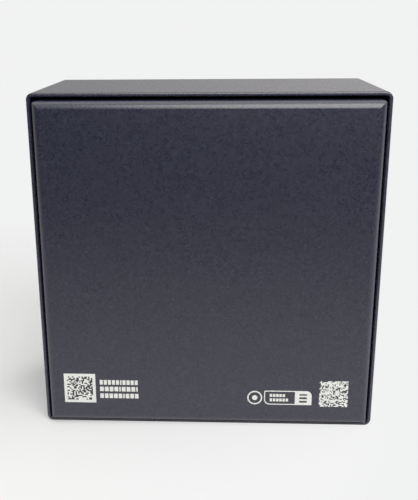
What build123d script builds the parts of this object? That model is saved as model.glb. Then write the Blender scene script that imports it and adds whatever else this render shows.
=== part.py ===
from build123d import *
import os

# Cufflink display box: a rigid telescope carton, standing on one side wall as it is displayed.
# Millimetres. +X to the right and +Z up as one faces the underside of the base, +Y towards the
# lid's top panel. The origin is under the middle of the closed box, on the surface it stands on.

# closed box
BOX_WIDTH = 135.0
BOX_HEIGHT = 136.0
LID_DEPTH = 65.0
BASE_PROUD = 2.8            # how far the base stands out of the lid's rim
BOX_DEPTH = LID_DEPTH + BASE_PROUD

# board, papers and their folds
BOARD = 1.2                 # greyboard of both trays
PAPER = 0.15                # outer wrap, linings and corner stays
WALL = BOARD + 2 * PAPER
TURN_IN = 18.0              # wrap folded over the rim and glued down inside
STAY_REACH = 10.0           # corner stay to each side of its corner
STAY_END_GAP = 1.0          # corner stay's end to the tray's closed face
STAY_RIM_GAP = 2.0          # corner stay's end to the tray's rim
CORNER_SLIT = 0.2           # where the folded walls of a tray meet
RIM_RADIUS = 0.6            # wrap's outer bend over the rim
RIM_BEVEL = 0.4             # wrap's inner bend over the rim
BOARD_OUTER_BEVEL = 0.25    # board's crushed rim edges under the wrap
BOARD_INNER_BEVEL = 0.31

# lid
LID_CORNER_RADIUS = 2.6
LID_EDGE_RADIUS = 1.8

# base tray, which has dropped onto the lid's lower wall
SIDE_CLEARANCE = 0.6
LOWER_CLEARANCE = 0.15
UPPER_CLEARANCE = 1.2
RIM_CLEARANCE = 0.1         # base rim to the lid's ceiling
BASE_WIDTH = BOX_WIDTH - 2 * (WALL + SIDE_CLEARANCE)
BASE_HEIGHT = BOX_HEIGHT - 2 * WALL - LOWER_CLEARANCE - UPPER_CLEARANCE
BASE_DEPTH = BOX_DEPTH - WALL - RIM_CLEARANCE
BASE_CORNER_RADIUS = 2.4
BASE_EDGE_RADIUS = 3.0
BASE_CENTRE_Z = WALL + LOWER_CLEARANCE + BASE_HEIGHT / 2

# raised platform glued into the base
PLATFORM_TOP = 27.5         # above the base's outer face
PLATFORM_GAP = 1.3          # to the base's lined walls
PLATFORM_BOARD = 1.0
PLATFORM_CORNER_RADIUS = 2.4
PLATFORM_EDGE_RADIUS = 1.7
COVER = 0.3                 # suede paper
COVER_SKIRT = 12.0          # cover turned down the platform's walls
COVER_TURN_IN = 8.0         # cover turned under round the window
WINDOW = 84.0
WINDOW_CORNER_RADIUS = 3.0

# folded card well under the window, which carries the cushion on its ledge
WELL_CARD = 0.8
WELL_DEPTH = 12.0
WELL_FLANGE = 6.0
WELL_LEDGE = 6.0
LEDGE_CORNER_RADIUS = 2.0

# cushion
CUSHION_SIDE = 83.0
CUSHION_CORNER_RADIUS = 3.5
CUSHION_EDGE_RADIUS = 2.0
CUSHION_DRAWN_IN = 0.6      # middle of each side, behind the line of its corners
CUSHION_CROWN = 4.0         # middle of the cushion above the platform
CUSHION_CROWN_RADIUS = 217.0
SUEDE = 0.8
CUSHION_CARD = 0.8
SUEDE_TURN_IN = 9.0
SLIT_SPACING = 36.0
SLIT_LENGTH = 26.0
SLIT_WIDTH = 1.6
SLIT_DEPTH = 10.0

# ribbon pull
RIBBON_WIDTH = 12.0
RIBBON = 0.4
LOOP_LENGTH = 15.0
LOOP_THICKNESS = 1.2        # two layers and the air between them
LOOP_CLEARANCE = 0.3        # above the platform and the tail
TAIL_UNDER = 8.5            # tail folded under the cushion
STAPLE_WIDTH = 9.0
STAPLE_WIRE = 0.5
STAPLE_LEG = 4.0
STAPLE_FROM_END = 1.5

# padded lid lining
LID_PAD_WIDTH = 118.0
LID_PAD_HEIGHT = 116.0
LID_PAD_CORNER_RADIUS = 6.0
LID_PAD_EDGE_RADIUS = 2.5
LID_PAD_DRAWN_IN = 1.2
LID_PAD_THICKNESS = 9.0     # in the middle
LID_PAD_CROWN_RADIUS = 560.0
LID_PAD_CARD = 0.8
SATIN = 0.4
SATIN_TURN_IN = 10.0


# ---------------------------------------------------------------- wrapped trays

def rolled_profile(width, depth, radius):
    """The section of a tray: a rectangle standing on y = 0 with its two lower corners rolled."""
    outline = Pos(0, depth / 2) * Rectangle(width, depth)
    return fillet(outline.vertices().group_by(Axis.Y)[0], radius)


def rolled_box(width, height, depth, corner_radius, edge_radius):
    """A box standing on z = 0 with round upright corners, whose lower face rolls into its sides."""
    upright = extrude(RectangleRounded(width, height, corner_radius), amount=depth)
    across = extrude(Plane.XZ * rolled_profile(width, depth, edge_radius), amount=height, both=True)
    along = extrude(Plane.YZ * rolled_profile(height, depth, edge_radius), amount=width, both=True)
    return upright & across & along


def prism(width, height, corner_radius, low, high):
    """An upright block with round corners, from the level low to the level high."""
    return Pos(0, 0, low) * extrude(RectangleRounded(width, height, corner_radius), amount=high - low)


def corner_blocks(width, height, low, high):
    """Four blocks that reach STAY_REACH from each upright corner of a width by height box."""
    block = Box(2 * STAY_REACH, 2 * STAY_REACH, high - low)
    return [
        Pos(right * width / 2, up * height / 2, (low + high) / 2) * block
        for right in (-1, 1)
        for up in (-1, 1)
    ]


def corner_stays(width, height, corner_radius, low, high):
    """Four paper angles, glued flush into the upright corners of a board box."""
    ring = prism(width, height, corner_radius, low, high)
    ring -= prism(width - 2 * PAPER, height - 2 * PAPER, corner_radius - PAPER, low, high)
    return Compound(children=[ring & block for block in corner_blocks(width, height, low, high)])


def corner_slits(width, height, low, high):
    """Four upright cuts on the diagonals, where the walls folded up from one blank meet."""
    reach = 4 * BOARD
    slits = []
    for right in (-1, 1):
        for up in (-1, 1):
            cut = Rot(0, 0, 45 * right * up) * Box(reach, CORNER_SLIT, high - low)
            slits.append(Pos(right * width / 2, up * height / 2, (low + high) / 2) * cut)
    return slits


def outer_rim(tray):
    """The edges round the outside of a tray's rim."""
    return tray.faces().sort_by(Axis.Z)[-1].outer_wire().edges()


def inner_rim(tray):
    """The edges of a tray's rim round its cavity."""
    return tray.faces().sort_by(Axis.Z)[-1].inner_wires()[0].edges()


def wrapped_tray(width, height, depth, corner_radius, edge_radius):
    """A rigid tray standing on its closed face: board, corner stays, wrap and two linings.

    Every layer is the same rolled box drawn in by the papers and board outside it, so that the
    layers seat on each other face to face.
    """
    def layer(inset, top):
        body = rolled_box(
            width - 2 * inset,
            height - 2 * inset,
            top - inset,
            corner_radius - inset,
            edge_radius - inset,
        )
        return Pos(0, 0, inset) * body

    inside = PAPER + BOARD
    lining_top = depth - TURN_IN
    roll_top = inside + edge_radius - PAPER
    whole = layer(0, depth) - layer(WALL, depth + 1)
    whole = whole.fillet(RIM_RADIUS, outer_rim(whole))
    whole = whole.chamfer(RIM_BEVEL, RIM_BEVEL, inner_rim(whole))
    board = layer(PAPER, depth - PAPER) - layer(inside, depth)
    board = board.chamfer(BOARD_OUTER_BEVEL, BOARD_OUTER_BEVEL, outer_rim(board))
    board = board.chamfer(BOARD_INNER_BEVEL, BOARD_INNER_BEVEL, inner_rim(board))
    stays = corner_stays(
        width - 2 * PAPER,
        height - 2 * PAPER,
        corner_radius - PAPER,
        edge_radius + STAY_END_GAP,
        depth - STAY_RIM_GAP,
    )
    lining_zone = layer(inside, lining_top)
    wrap = whole - board - lining_zone
    lining = lining_zone - layer(WALL, lining_top + 1)
    floor_zone = Box(width, height, 2 * roll_top)
    slits = corner_slits(width - WALL, height - WALL, roll_top, depth)
    return {
        "board": board - stays - slits,
        "corner_stays": stays,
        "wrap": wrap,
        "wall_lining": lining - floor_zone,
        "floor_lining": lining & floor_zone,
    }


# ---------------------------------------------------------------- platform and well

FLOOR = WALL                                    # lined floor of the base, above its outer face
PLATFORM_WIDTH = BASE_WIDTH - 2 * (WALL + PLATFORM_GAP)
PLATFORM_HEIGHT = BASE_HEIGHT - 2 * (WALL + PLATFORM_GAP)
COVER_UNDER = PLATFORM_TOP - PLATFORM_BOARD - 2 * COVER      # lower face of the turned-under cover
LEDGE_TOP = PLATFORM_TOP - WELL_DEPTH
TAIL_SIDE = CUSHION_SIDE / 2 - CUSHION_DRAWN_IN              # cushion's side where the ribbon lies
TAIL_TOP = PLATFORM_TOP
HINGE_LEVEL = TAIL_TOP + LOOP_CLEARANCE + LOOP_THICKNESS / 2


def platform_block(inset):
    """The platform's outer shape, drawn in by inset: a rolled box with its closed face up."""
    block = rolled_box(
        PLATFORM_WIDTH - 2 * inset,
        PLATFORM_HEIGHT - 2 * inset,
        PLATFORM_TOP - inset - FLOOR,
        PLATFORM_CORNER_RADIUS - inset,
        PLATFORM_EDGE_RADIUS - inset,
    )
    return Pos(0, 0, PLATFORM_TOP - inset) * Rot(180, 0, 0) * block


def window_prism(offset, low, high):
    """The window, grown by offset on every side."""
    side = WINDOW + 2 * offset
    return prism(side, side, WINDOW_CORNER_RADIUS + offset, low, high)


def platform():
    """The platform's folded board, its corner stays and its suede paper cover."""
    board = platform_block(COVER) - platform_block(COVER + PLATFORM_BOARD)
    board -= window_prism(COVER, COVER_UNDER, PLATFORM_TOP)
    stays = corner_stays(
        PLATFORM_WIDTH - 2 * COVER,
        PLATFORM_HEIGHT - 2 * COVER,
        PLATFORM_CORNER_RADIUS - COVER,
        FLOOR + STAY_RIM_GAP,
        PLATFORM_TOP - PLATFORM_EDGE_RADIUS - STAY_END_GAP,
    )
    cover = platform_block(0) - platform_block(COVER)
    skirt_end = PLATFORM_TOP - COVER_SKIRT
    cover -= prism(BASE_WIDTH, BASE_HEIGHT, BASE_CORNER_RADIUS, FLOOR, skirt_end)
    cover += window_prism(COVER, COVER_UNDER, PLATFORM_TOP)
    cover += window_prism(COVER + COVER_TURN_IN, COVER_UNDER, COVER_UNDER + COVER)
    cover -= window_prism(0, COVER_UNDER, PLATFORM_TOP)
    return {"board": board - stays, "corner_stays": stays, "cover": cover}


def cushion_well():
    """A folded card frame: flange under the platform, four walls, and a ledge for the cushion."""
    low = LEDGE_TOP - WELL_CARD
    opening = WINDOW - 2 * WELL_LEDGE
    well = window_prism(WELL_CARD, low, COVER_UNDER)
    well += window_prism(WELL_CARD + WELL_FLANGE, COVER_UNDER - WELL_CARD, COVER_UNDER)
    well -= window_prism(0, LEDGE_TOP, COVER_UNDER)
    return well - prism(opening, opening, LEDGE_CORNER_RADIUS, low, LEDGE_TOP)


# ---------------------------------------------------------------- padded pieces

def drawn_in_outline(width, height, corner_radius, drawn_in, inset):
    """A padded panel's plan, drawn in by inset all round.

    A great circle hollows each side of a rectangle, deepest in the middle, and the corners are
    rounded.
    """
    outline = Rectangle(width + 2 * drawn_in, height + 2 * drawn_in)
    for turn, half_side, half_span in ((0, width / 2, height / 2), (90, height / 2, width / 2)):
        bow = (half_side ** 2 + drawn_in ** 2) / (2 * drawn_in)
        for end in (-1, 1):
            centre = Rot(0, 0, turn) * Pos(0, end * (half_span - drawn_in + bow))
            outline -= centre * Circle(bow + inset)
    return fillet(outline.vertices(), corner_radius - inset)


def crowned_profile(width, low, top, crown_radius, edge_radius):
    """A pad's section: straight sides, rounded upper corners and a shallow arc between them."""
    half = width / 2
    edge = top - crown_radius + (crown_radius ** 2 - half ** 2) ** 0.5
    sides = Polyline((-half, edge), (-half, low), (half, low), (half, edge))
    outline = make_face([sides, ThreePointArc((half, edge), (0, top), (-half, edge))])
    return fillet(outline.vertices().group_by(Axis.Y)[-1], edge_radius)


def crowned_pad(outline, width, height, low, top, crown_radius, edge_radius):
    """The outline raised from low, under one crowned section across and another along."""
    block = Pos(0, 0, low) * extrude(outline, amount=top - low)
    across = crowned_profile(width, low, top, crown_radius, edge_radius)
    along = crowned_profile(height, low, top, crown_radius, edge_radius)
    block &= extrude(Plane.XZ * across, amount=height, both=True)
    return block & extrude(Plane.YZ * along, amount=width, both=True)


def cushion_outline(inset):
    return drawn_in_outline(
        CUSHION_SIDE, CUSHION_SIDE, CUSHION_CORNER_RADIUS, CUSHION_DRAWN_IN, inset
    )


def cushion_body(inset, low):
    return crowned_pad(
        cushion_outline(inset),
        CUSHION_SIDE - 2 * inset,
        CUSHION_SIDE - 2 * inset,
        low,
        PLATFORM_TOP + CUSHION_CROWN - inset,
        CUSHION_CROWN_RADIUS - inset,
        CUSHION_EDGE_RADIUS - inset,
    )


def slits(grow):
    """Both cufflink slits, grown by grow all round, open upwards."""
    floor = PLATFORM_TOP + CUSHION_CROWN - SLIT_DEPTH - grow
    slit = Box(SLIT_WIDTH + 2 * grow, SLIT_LENGTH + 2 * grow, 2 * SLIT_DEPTH)
    return [Pos(side * SLIT_SPACING / 2, 0, floor + SLIT_DEPTH) * slit for side in (-1, 1)]


def raised_outline(inset, low, high):
    return Pos(0, 0, low) * extrude(cushion_outline(inset), amount=high - low)


def staple():
    """A flat wire staple through the ribbon's end into the foam: its crown lies under the ribbon."""
    outer = Pos(0, STAPLE_LEG / 2) * Rectangle(STAPLE_WIDTH, STAPLE_LEG)
    outer = fillet(outer.vertices().group_by(Axis.Y)[0], STAPLE_WIRE)
    gap = Rectangle(STAPLE_WIDTH - 2 * STAPLE_WIRE, 2 * (STAPLE_LEG - STAPLE_WIRE))
    shape = outer - Pos(0, STAPLE_LEG) * gap
    wire = extrude(Plane.XZ * shape, amount=STAPLE_WIRE / 2, both=True)
    return Pos(0, TAIL_SIDE - TAIL_UNDER + STAPLE_FROM_END, LEDGE_TOP - STAPLE_WIRE) * wire


def cushion():
    """Backing card, foam, suede cover with lined slits, and the ribbon's tail with its staple.

    The suede turns under the card all round. The tail lies on the cushion's side and is pressed
    flush into the turned-under suede.
    """
    card_low = LEDGE_TOP + SUEDE
    foam_low = card_low + CUSHION_CARD
    core = cushion_body(SUEDE, card_low)
    card = raised_outline(SUEDE, card_low, foam_low)
    opening = CUSHION_SIDE - 2 * SUEDE_TURN_IN
    wire = staple()

    upright = raised_outline(-RIBBON, LEDGE_TOP, TAIL_TOP) - raised_outline(0, LEDGE_TOP, TAIL_TOP)
    under = raised_outline(-RIBBON, LEDGE_TOP, LEDGE_TOP + RIBBON)
    tail = (upright + under) & (Pos(0, TAIL_SIDE, 0) * Box(RIBBON_WIDTH, 2 * TAIL_UNDER, 2 * BOX_DEPTH))

    suede = cushion_body(0, LEDGE_TOP) - core
    suede -= prism(opening, opening, LEDGE_CORNER_RADIUS, LEDGE_TOP, card_low)
    suede += [slit & core for slit in slits(SUEDE)]
    return {
        "card": card - wire,
        "foam": core - card - slits(SUEDE) - wire,
        "suede": suede - slits(0) - tail - wire,
        "ribbon_tail": tail - wire,
        "ribbon_staple": wire,
    }


def ribbon_loop():
    """A doubled ribbon lying flat on the platform, which turns up about its rounded root."""
    centre = LOOP_LENGTH / 2
    section = SlotCenterToCenter(LOOP_LENGTH, LOOP_THICKNESS)
    section -= SlotCenterToCenter(LOOP_LENGTH, LOOP_THICKNESS - 2 * RIBBON)
    loop = extrude(Plane.YZ * Pos(centre, 0) * section, amount=RIBBON_WIDTH / 2, both=True)
    return Pos(0, TAIL_SIDE + RIBBON / 2, HINGE_LEVEL) * loop


def lid_pad():
    """A thin crowned pad glued to the lid's ceiling: card, foam, and satin turned in behind."""
    def outline(inset):
        return drawn_in_outline(
            LID_PAD_WIDTH, LID_PAD_HEIGHT, LID_PAD_CORNER_RADIUS, LID_PAD_DRAWN_IN, inset
        )

    def body(inset, low):
        return crowned_pad(
            outline(inset),
            LID_PAD_WIDTH - 2 * inset,
            LID_PAD_HEIGHT - 2 * inset,
            low,
            WALL + LID_PAD_THICKNESS - inset,
            LID_PAD_CROWN_RADIUS - inset,
            LID_PAD_EDGE_RADIUS - inset,
        )

    card_low = WALL + SATIN
    core = body(SATIN, card_low)
    card = Pos(0, 0, card_low) * extrude(outline(SATIN), amount=LID_PAD_CARD)
    opening = prism(
        LID_PAD_WIDTH - 2 * SATIN_TURN_IN,
        LID_PAD_HEIGHT - 2 * SATIN_TURN_IN,
        LID_PAD_CORNER_RADIUS,
        WALL,
        card_low,
    )
    return {"card": card, "foam": core - card, "satin": body(0, WALL) - core - opening}


# ---------------------------------------------------------------- assembly

def main():
    """Write one STEP for each piece of the closed box, standing on the lid's lower wall."""
    base_place = Pos(0, -BOX_DEPTH / 2, BASE_CENTRE_Z) * Rot(-90, 0, 0)
    lid_place = Pos(0, BOX_DEPTH / 2, BOX_HEIGHT / 2) * Rot(90, 0, 0)
    base = wrapped_tray(BASE_WIDTH, BASE_HEIGHT, BASE_DEPTH, BASE_CORNER_RADIUS, BASE_EDGE_RADIUS)
    lid = wrapped_tray(BOX_WIDTH, BOX_HEIGHT, LID_DEPTH, LID_CORNER_RADIUS, LID_EDGE_RADIUS)
    lid["ceiling_lining"] = lid.pop("floor_lining")
    pieces = {}
    pieces.update({"base_" + name: base_place * piece for name, piece in base.items()})
    pieces.update({"platform_" + name: base_place * piece for name, piece in platform().items()})
    pieces["cushion_well"] = base_place * cushion_well()
    for name, piece in cushion().items():
        prefix = "" if name.startswith("ribbon") else "cushion_"
        pieces[prefix + name] = base_place * piece
    pieces["ribbon_loop"] = base_place * ribbon_loop()
    pieces.update({"lid_" + name: lid_place * piece for name, piece in lid.items()})
    pieces.update({"lid_pad_" + name: lid_place * piece for name, piece in lid_pad().items()})
    os.makedirs("parts", exist_ok=True)
    for name, piece in pieces.items():
        export_step(piece, f"parts/{name}.step")


main()
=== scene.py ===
import math

import bpy
import numpy as np
from mathutils import Matrix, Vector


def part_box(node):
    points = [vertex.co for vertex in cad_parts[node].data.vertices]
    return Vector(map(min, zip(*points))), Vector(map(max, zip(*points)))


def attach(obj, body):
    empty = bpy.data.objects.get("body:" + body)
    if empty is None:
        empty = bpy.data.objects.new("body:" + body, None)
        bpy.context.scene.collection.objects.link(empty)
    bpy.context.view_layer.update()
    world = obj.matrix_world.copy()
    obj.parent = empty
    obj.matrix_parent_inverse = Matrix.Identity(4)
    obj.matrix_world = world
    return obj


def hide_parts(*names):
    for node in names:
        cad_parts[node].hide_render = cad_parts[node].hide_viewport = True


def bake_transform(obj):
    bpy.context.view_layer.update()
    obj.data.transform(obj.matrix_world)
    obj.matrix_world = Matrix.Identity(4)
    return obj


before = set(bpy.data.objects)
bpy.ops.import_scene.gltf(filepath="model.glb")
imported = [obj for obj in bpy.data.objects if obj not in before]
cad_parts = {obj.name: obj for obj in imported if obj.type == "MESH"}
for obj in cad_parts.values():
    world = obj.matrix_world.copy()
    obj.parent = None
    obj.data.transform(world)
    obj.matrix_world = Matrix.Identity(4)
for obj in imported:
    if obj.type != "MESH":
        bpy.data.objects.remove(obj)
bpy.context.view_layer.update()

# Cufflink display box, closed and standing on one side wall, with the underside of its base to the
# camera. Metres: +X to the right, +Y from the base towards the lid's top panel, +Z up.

MM = 0.001
TINY = 1e-9                     # a length of nothing, so that a division by it stays finite


# ---------------------------------------------------------------- places and sizes from the frame

def corners(node):
    """Lowest and highest corner of a CAD node, as arrays."""
    low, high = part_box(node)
    return np.array(low), np.array(high)


LID_LOW, LID_HIGH = corners("lid_wrap")
BASE_LOW, BASE_HIGH = corners("base_wrap")
CUSHION_LOW, CUSHION_HIGH = corners("cushion_suede")
LID_PAD_LOW, LID_PAD_HIGH = corners("lid_pad_satin")
TAIL_LOW, TAIL_HIGH = corners("ribbon_tail")
LOOP_LOW, LOOP_HIGH = corners("ribbon_loop")

BASE_FACE = BASE_LOW[1]                         # the panel that faces the camera
BASE_MIDDLE = (BASE_LOW[2] + BASE_HIGH[2]) / 2
LID_MIDDLE = (LID_LOW[2] + LID_HIGH[2]) / 2
CUSHION_CARD_FACE = corners("cushion_card")[0][1]   # the card's side towards the base panel
LID_CARD_FACE = corners("lid_pad_card")[1][1]       # the card's side towards the lid's top panel


def on_base(points):
    """From the base's own frame, heights measured inwards from its outer face, to the shared one."""
    x, y, height = np.moveaxis(np.asarray(points, float), -1, 0)
    return np.stack([x, BASE_FACE + height, BASE_MIDDLE - y], axis=-1)


def on_lid(points):
    """From the lid's own frame, heights measured inwards from its outer face, to the shared one."""
    x, y, height = np.moveaxis(np.asarray(points, float), -1, 0)
    return np.stack([x, LID_HIGH[1] - height, LID_MIDDLE + y], axis=-1)


# ---------------------------------------------------------------- meshes

def grid_quads(rows, columns, first=0, closed=False):
    """Quads over points numbered row by row, facing (along a row) x (from row to row).

    A closed grid joins its last column to its first.
    """
    index = first + np.arange(rows * columns).reshape(rows, columns)
    if closed:
        index = np.concatenate([index, index[:, :1]], axis=1)
    quads = np.stack([index[:-1, :-1], index[:-1, 1:], index[1:, 1:], index[1:, :-1]], axis=-1)
    return quads.reshape(-1, 4)


def put_mesh(name, points, faces, finish, smooth=True, uv=None):
    """A mesh piece at the origin, from an (n, 3) array of points and a list of faces.

    uv, where given, is an (n, 2) array with one place on the pattern for each point.
    """
    mesh = bpy.data.meshes.new(name)
    mesh.from_pydata(np.asarray(points).tolist(), [], [list(map(int, face)) for face in faces])
    if uv is not None:
        loop_points = np.zeros(len(mesh.loops), dtype=np.int32)
        mesh.loops.foreach_get("vertex_index", loop_points)
        layer = mesh.uv_layers.new(name="UVMap")
        layer.data.foreach_set("uv", np.asarray(uv, np.float32)[loop_points].ravel())
    mesh.polygons.foreach_set("use_smooth", np.full(len(mesh.polygons), smooth))
    mesh.materials.append(finish)
    mesh.update()
    piece = bpy.data.objects.new(name, mesh)
    bpy.context.scene.collection.objects.link(piece)
    return piece


def spaced(stops, steps):
    """Rising values through the stops, with each stretch divided into steps no longer than its own."""
    pieces = [np.array(stops[:1], float)]
    slack = 1e-9                                # rounding adds no step to a stretch of whole steps
    for low, high, step in zip(stops[:-1], stops[1:], steps):
        count = max(1, math.ceil((high - low) / step - slack))
        pieces.append(np.linspace(low, high, count + 1)[1:])
    return np.concatenate(pieces)


# ---------------------------------------------------------------- finishes

class Finish:
    """A node material under construction: pattern nodes lead to its Principled shader."""

    def __init__(self, name, **constants):
        """Start a material, with the constant values of its shader's sockets."""
        self.material = bpy.data.materials.new(name)
        self.material.use_nodes = True
        self.tree = self.material.node_tree
        self.shader = self.tree.nodes["Principled BSDF"]
        for socket, value in constants.items():
            self.shader.inputs[socket.replace("_", " ").title().replace("Ior", "IOR")].default_value = value

    def add(self, kind, inputs, **properties):
        """A new node with its properties set and its inputs linked or set."""
        node = self.tree.nodes.new(kind)
        for name, value in properties.items():
            setattr(node, name, value)
        for key, value in inputs.items():
            if isinstance(value, bpy.types.NodeSocket):
                self.tree.links.new(value, node.inputs[key])
            else:
                node.inputs[key].default_value = value
        return node

    def place(self, kind="Object"):
        """The place that the pattern follows: Object or UV coordinates."""
        return self.add("ShaderNodeTexCoord", {}).outputs[kind]

    def stretched(self, vector, scale, turn=(0, 0, 0)):
        """Coordinates stretched along their axes, and turned."""
        return self.add("ShaderNodeMapping", {"Vector": vector, "Scale": scale, "Rotation": turn}).outputs[0]

    def noise(self, vector, size, detail=2.0, roughness=0.5):
        """Cloudy noise whose blotches are about size metres across."""
        inputs = {"Vector": vector, "Scale": 1 / size, "Detail": detail, "Roughness": roughness}
        return self.add("ShaderNodeTexNoise", inputs).outputs["Fac"]

    def spread(self, value, low, high, new_low=0.0, new_high=1.0):
        """The value's range low..high carried to new_low..new_high and held there outside it."""
        inputs = {"Value": value, "From Min": low, "From Max": high, "To Min": new_low, "To Max": new_high}
        return self.add("ShaderNodeMapRange", inputs).outputs["Result"]

    def maths(self, operation, first, second=0.0):
        """One sum on one or two values."""
        return self.add("ShaderNodeMath", {0: first, 1: second}, operation=operation).outputs[0]

    def mixed(self, share, first, second):
        """Two colours mixed by the share of the second."""
        node = self.add("ShaderNodeMix", {0: share, 6: first, 7: second}, data_type="RGBA")
        return node.outputs[2]

    def bump(self, height, depth, normal=None):
        """A relief of the given depth in metres, on top of another where one is given."""
        inputs = {"Height": height, "Strength": 1.0, "Distance": depth}
        if normal is not None:
            inputs["Normal"] = normal
        return self.add("ShaderNodeBump", inputs).outputs["Normal"]

    def paint(self, **sockets):
        """Link patterns to the shader and hand the material over."""
        for socket, value in sockets.items():
            self.tree.links.new(value, self.shader.inputs[socket.replace("_", " ").title()])
        return self.material


def rgb(red, green, blue):
    """An opaque colour, as a socket takes it."""
    return (red, green, blue, 1.0)


def edge_mask(finish, low, high, near, far):
    """1 on a box's edges and 0 away from them: the second least distance to its faces.

    For a point p in the box, d = half size - |p - centre| along each axis, and the middle one of
    the three is max(min(dx, dy), min(max(dx, dy), dz)).
    """
    centre = (low + high) / 2
    half = (high - low) / 2
    moved = finish.add("ShaderNodeVectorMath", {0: finish.place(), 1: centre}, operation="SUBTRACT")
    folded = finish.add("ShaderNodeVectorMath", {0: moved.outputs[0]}, operation="ABSOLUTE")
    depth = finish.add("ShaderNodeVectorMath", {0: half, 1: folded.outputs[0]}, operation="SUBTRACT")
    parts = finish.add("ShaderNodeSeparateXYZ", {0: depth.outputs[0]})
    x, y, z = parts.outputs
    least = finish.maths("MINIMUM", x, y)
    most = finish.maths("MAXIMUM", x, y)
    middle = finish.maths("MAXIMUM", least, finish.maths("MINIMUM", most, z))
    return finish.spread(middle, near, far, 1.0, 0.0)


def wrap_paper(name, low, high):
    """Dark blue soft-touch paper: fine speckle, slow mottle, fibre relief and rubbed edges."""
    deep, light = rgb(0.0012, 0.0022, 0.0135), rgb(0.0205, 0.0225, 0.0425)
    clouded, rubbed = rgb(0.0135, 0.0145, 0.0285), rgb(0.075, 0.073, 0.085)
    rub_full, rub_end = 0.25 * MM, 1.3 * MM     # distances from an edge
    finish = Finish(name, roughness=0.28, specular_ior_level=0.87)
    place = finish.place()
    speckle = finish.spread(finish.noise(place, 0.6 * MM, 1.0, 0.5), 0.28, 0.72)
    mottle = finish.spread(finish.noise(place, 14 * MM, 4.0, 0.6), 0.35, 0.65)
    colour = finish.mixed(speckle, deep, light)
    colour = finish.mixed(finish.maths("MULTIPLY", mottle, 0.3), colour, clouded)
    rub = edge_mask(finish, low, high, rub_full, rub_end)
    worn = finish.spread(finish.noise(place, 1.6 * MM, 5.0, 0.7), 0.4, 0.75)
    rub = finish.maths("MULTIPLY", rub, worn)
    colour = finish.mixed(finish.maths("MULTIPLY", rub, 0.55), colour, rubbed)
    grain = finish.noise(place, 0.7 * MM, 3.0, 0.65)
    roughness = finish.spread(finish.noise(place, 1.5 * MM, 2.0), 0.3, 0.7, 0.26, 0.31)
    relief = finish.bump(grain, 0.03 * MM)
    relief = finish.bump(finish.noise(place, 9 * MM, 2.0), 0.05 * MM, relief)
    return finish.paint(base_color=colour, roughness=roughness, normal=relief)


def greyboard():
    """Recycled chip board: grey-brown with paper fibres and darker flecks."""
    grey, pale, dark_fleck = rgb(0.2, 0.185, 0.155), rgb(0.31, 0.29, 0.25), rgb(0.09, 0.08, 0.07)
    finish = Finish("greyboard", roughness=0.92, specular_ior_level=0.3)
    place = finish.place()
    cloud = finish.spread(finish.noise(place, 3 * MM, 4.0, 0.7), 0.3, 0.7)
    fleck = finish.spread(finish.noise(place, 0.5 * MM, 2.0, 0.5), 0.62, 0.74)
    colour = finish.mixed(cloud, grey, pale)
    colour = finish.mixed(finish.maths("MULTIPLY", fleck, 0.6), colour, dark_fleck)
    relief = finish.bump(finish.noise(place, 0.4 * MM, 3.0, 0.7), 0.05 * MM)
    return finish.paint(base_color=colour, normal=relief)


def stay_paper():
    """Brown gummed paper of the corner stays, with faint laid lines."""
    brown, tan = rgb(0.36, 0.25, 0.14), rgb(0.5, 0.37, 0.22)
    finish = Finish("stay_paper", roughness=0.8, specular_ior_level=0.35)
    place = finish.place()
    lines = finish.noise(finish.stretched(place, (1, 0.08, 1)), 0.5 * MM, 2.0)
    colour = finish.mixed(finish.spread(lines, 0.35, 0.65), brown, tan)
    relief = finish.bump(lines, 0.02 * MM)
    return finish.paint(base_color=colour, normal=relief)


def lining_paper():
    """Dark slate lining paper with a fine felt grain."""
    slate, worn_slate, fibre = rgb(0.018, 0.019, 0.03), rgb(0.03, 0.031, 0.044), rgb(0.07, 0.072, 0.09)
    finish = Finish("lining_paper", roughness=0.75, specular_ior_level=0.4)
    place = finish.place()
    cloud = finish.spread(finish.noise(place, 6 * MM, 4.0, 0.6), 0.3, 0.7)
    felt = finish.noise(place, 0.45 * MM, 3.0, 0.7)
    colour = finish.mixed(cloud, slate, worn_slate)
    colour = finish.mixed(finish.spread(felt, 0.55, 0.8, 0.0, 0.4), colour, fibre)
    relief = finish.bump(felt, 0.03 * MM)
    return finish.paint(base_color=colour, normal=relief)


def suede(name, dark, light, nap_size):
    """Suede or suede paper: short nap that lies one way and another, with a soft sheen."""
    # Painted shade for the hollows of the nap: a darker copy of the suede's colour.
    parted_shade = rgb(*(0.72 * part for part in dark[:3]))
    finish = Finish(name, roughness=0.95, specular_ior_level=0.2, sheen_weight=0.35, sheen_roughness=0.45)
    place = finish.place()
    brushed = finish.spread(finish.noise(place, 11 * MM, 3.0, 0.55), 0.32, 0.68)
    nap = finish.noise(finish.stretched(place, (1.0, 1.0, 0.6)), nap_size, 4.0, 0.75)
    colour = finish.mixed(brushed, dark, light)
    # Painted shade: the darker copy is mixed in at the low places of the nap's relief.
    colour = finish.mixed(finish.spread(nap, 0.3, 0.75, 0.45, 0.0), colour, parted_shade)
    relief = finish.bump(nap, 0.09 * MM)
    return finish.paint(base_color=colour, normal=relief)


def well_card():
    """Smooth off-white folding card."""
    shaded, white = rgb(0.53, 0.51, 0.46), rgb(0.6, 0.585, 0.54)
    finish = Finish("well_card", roughness=0.6, specular_ior_level=0.45)
    place = finish.place()
    cloud = finish.spread(finish.noise(place, 4 * MM, 3.0), 0.3, 0.7)
    colour = finish.mixed(cloud, shaded, white)
    relief = finish.bump(finish.noise(place, 0.3 * MM, 2.0), 0.012 * MM)
    return finish.paint(base_color=colour, normal=relief)


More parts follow.
